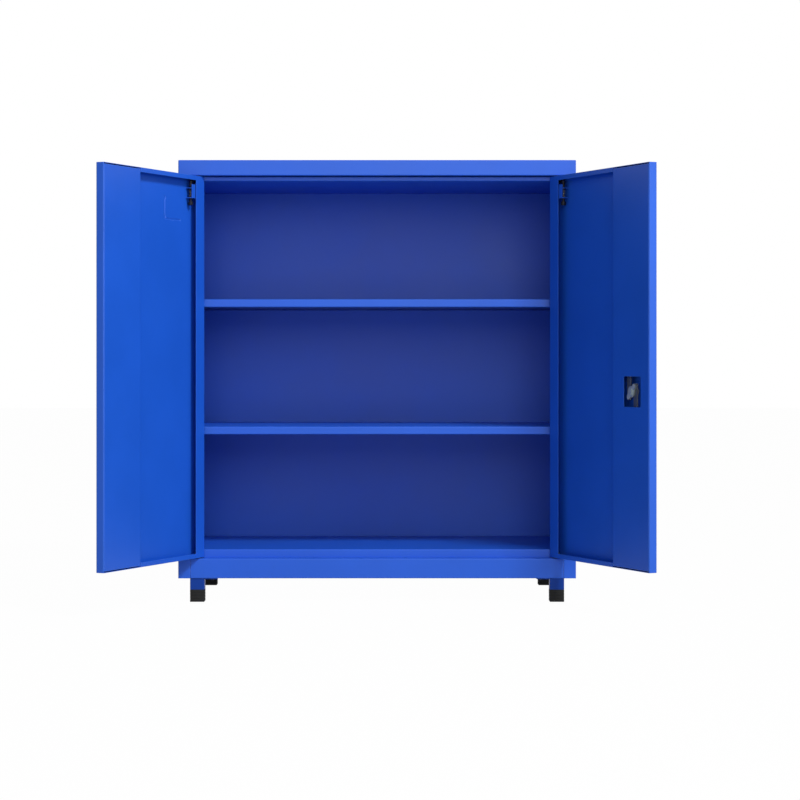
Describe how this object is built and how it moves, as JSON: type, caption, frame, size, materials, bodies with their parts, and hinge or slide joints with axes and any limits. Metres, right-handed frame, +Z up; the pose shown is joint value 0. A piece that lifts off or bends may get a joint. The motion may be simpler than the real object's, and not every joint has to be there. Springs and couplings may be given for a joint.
{
  "type": "tool cabinet with doors",
  "caption": "Blue sheet-steel tool cabinet on short legs, with its hinged doors open over adjustable shelves and a rod lock in one door.",
  "frame": {"origin": "on the floor, at the centre of the outline with both doors open", "axes": "+X to the right, -Y out of the front, +Z up"},
  "size_m": [1.1764, 0.7584, 1],
  "materials": {
    "blue_paint": "semi-gloss powder coat",
    "black_steel": "satin",
    "black_rubber": "matte",
    "zinc_steel": "zinc plated",
    "chromed_zinc": "polished",
    "nylon": "moulded"
  },
  "bodies": {
    "cabinet": {"top_panel": "blue_paint", "ceiling_panel": "blue_paint", "bottom_panel": "blue_paint", "back_panel": "blue_paint", "left_side_panel": "blue_paint", "right_side_panel": "blue_paint", "front_plinth": "blue_paint", "rear_rail": "blue_paint", "upper_hinge_bushes": "nylon", "lower_hinge_bushes": "nylon", "top_screws": "zinc_steel", "leg_screws": "black_steel", "leg_nuts": "black_steel", "upper_shelf": "blue_paint", "lower_shelf": "blue_paint", "upper_shelf_clips": "zinc_steel", "lower_shelf_clips": "zinc_steel", "front_left_upright": "blue_paint", "front_right_upright": "blue_paint", "rear_left_upright": "blue_paint", "rear_right_upright": "blue_paint", "front_left_leg": "blue_paint", "front_right_leg": "blue_paint", "rear_left_leg": "blue_paint", "rear_right_leg": "blue_paint", "front_left_leg_plate": "blue_paint", "front_right_leg_plate": "blue_paint", "rear_left_leg_plate": "blue_paint", "rear_right_leg_plate": "blue_paint", "front_left_foot": "black_rubber", "front_right_foot": "black_rubber", "rear_left_foot": "black_rubber", "rear_right_foot": "black_rubber"},
    "left_door": {"left_door_skin": "blue_paint", "left_door_channel": "blue_paint", "left_pin_bracket": "blue_paint", "left_lower_pin": "zinc_steel"},
    "right_door": {"right_door_skin": "blue_paint", "right_door_channel": "blue_paint", "right_pin_bracket": "blue_paint", "right_lower_pin": "zinc_steel", "handle_escutcheon": "chromed_zinc", "upper_rod_guide": "nylon", "lower_rod_guide": "nylon"},
    "left_pin": {"left_upper_pin": "black_steel", "left_pin_spring": "zinc_steel"},
    "right_pin": {"right_upper_pin": "black_steel", "right_pin_spring": "zinc_steel"},
    "handle": {"door_handle": "chromed_zinc", "handle_spindle": "zinc_steel", "lock_rocker": "zinc_steel", "rocker_link_pins": "zinc_steel", "rocker_screw": "zinc_steel"},
    "cylinder": {"lock_cylinder": "chromed_zinc"},
    "upper_rod": {"upper_lock_rod": "zinc_steel"},
    "lower_rod": {"lower_lock_rod": "zinc_steel"}
  },
  "joints": [
    {"name": "left_door_hinge", "type": "hinge", "parent": "cabinet", "child": "left_door", "pos_m": [-0.406, -0.0108, 0.0985], "axis": [0, 0, 1], "range_deg": [0, 115.5]},
    {"name": "right_door_hinge", "type": "hinge", "parent": "cabinet", "child": "right_door", "pos_m": [0.406, -0.0108, 0.0985], "axis": [0, 0, -1], "range_deg": [0, 115.5]},
    {"name": "left_pin_pull", "type": "slide", "parent": "left_door", "child": "left_pin", "axis": [0, 0, -1], "range_m": [0, 0.012], "stiffness_N_per_m": 300, "springref_m": -0.003, "deforming": ["left_pin_spring"]},
    {"name": "right_pin_pull", "type": "slide", "parent": "right_door", "child": "right_pin", "axis": [0, 0, -1], "range_m": [0, 0.012], "stiffness_N_per_m": 300, "springref_m": -0.003, "deforming": ["right_pin_spring"]},
    {"name": "handle_turn", "type": "hinge", "parent": "right_door", "child": "handle", "pos_m": [0.55666, -0.30344, 0.48], "axis": [0.9026, 0.4305, 0], "range_deg": [0, 90]},
    {"name": "cylinder_turn", "type": "hinge", "parent": "handle", "child": "cylinder", "pos_m": [0.55666, -0.30344, 0.48], "axis": [0.9026, 0.4305, 0], "range_deg": [0, 90]},
    {"name": "upper_rod_slide", "type": "slide", "parent": "right_door", "child": "upper_rod", "axis": [0, 0, 1], "range_m": [0, 0.02121]},
    {"name": "lower_rod_slide", "type": "slide", "parent": "right_door", "child": "lower_rod", "axis": [0, 0, -1], "range_m": [0, 0.02121]}
  ],
  "couplings": [
    {"joint": "upper_rod_slide", "follows": "handle_turn", "m_per_rad": 0.013505},
    {"joint": "lower_rod_slide", "follows": "handle_turn", "m_per_rad": 0.013505}
  ]
}
